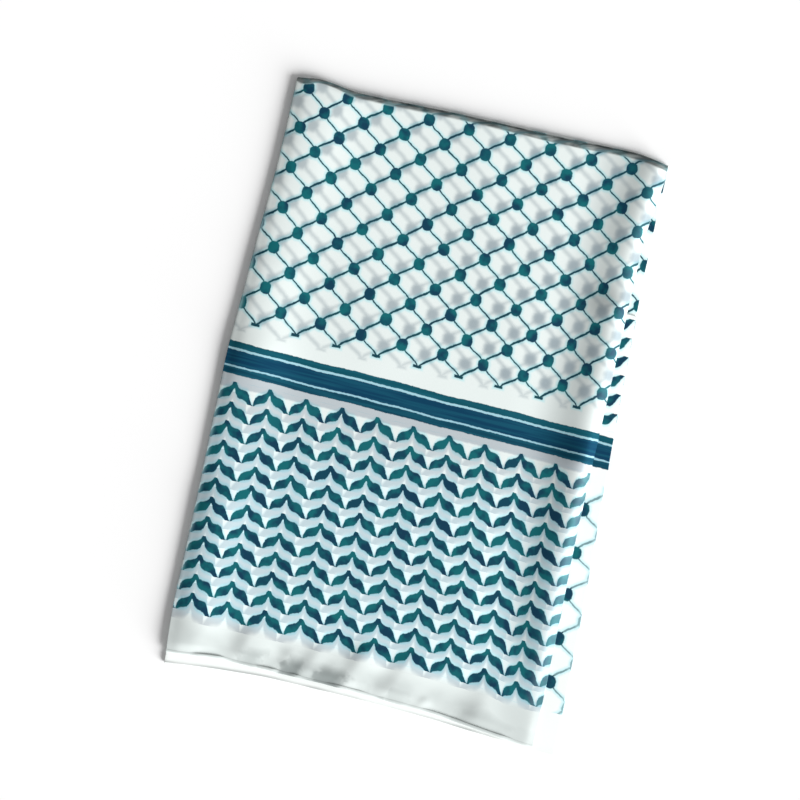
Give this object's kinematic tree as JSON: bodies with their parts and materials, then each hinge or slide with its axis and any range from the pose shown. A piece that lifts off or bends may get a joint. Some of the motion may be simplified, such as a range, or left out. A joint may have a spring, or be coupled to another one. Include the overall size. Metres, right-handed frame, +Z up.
{
  "type": "hijab",
  "caption": "Long thin printed hijab shawl with net, stripe band and leaf rows, folded into a flat rectangle that lies on its underside.",
  "frame": {"origin": "middle of the folded cloth's outline, on the surface that it lies on", "axes": "+X across the fold towards the hemmed long edges, +Y towards the top fold, +Z up through the layers"},
  "size_m": [0.4066, 0.5992, 0.008],
  "materials": {
    "printed_cloth": "thin plain-weave voile, cool white, printed in teal and dark blue-green",
    "inner_cloth": "the same thin voile, inside the folds",
    "hem_cloth": "the same thin voile, rolled narrow and stitched"
  },
  "bodies": {
    "root": {"top_third": "printed_cloth", "top_fold": "printed_cloth", "middle_third": "printed_cloth", "bottom_third": "printed_cloth", "bottom_fold": "printed_cloth", "hidden_layers": "inner_cloth", "end_hem": "hem_cloth", "top_side_hem": "hem_cloth", "middle_side_hem": "hem_cloth", "bottom_side_hem": "hem_cloth", "underside_side_hem": "hem_cloth"}
  },
  "joints": []
}
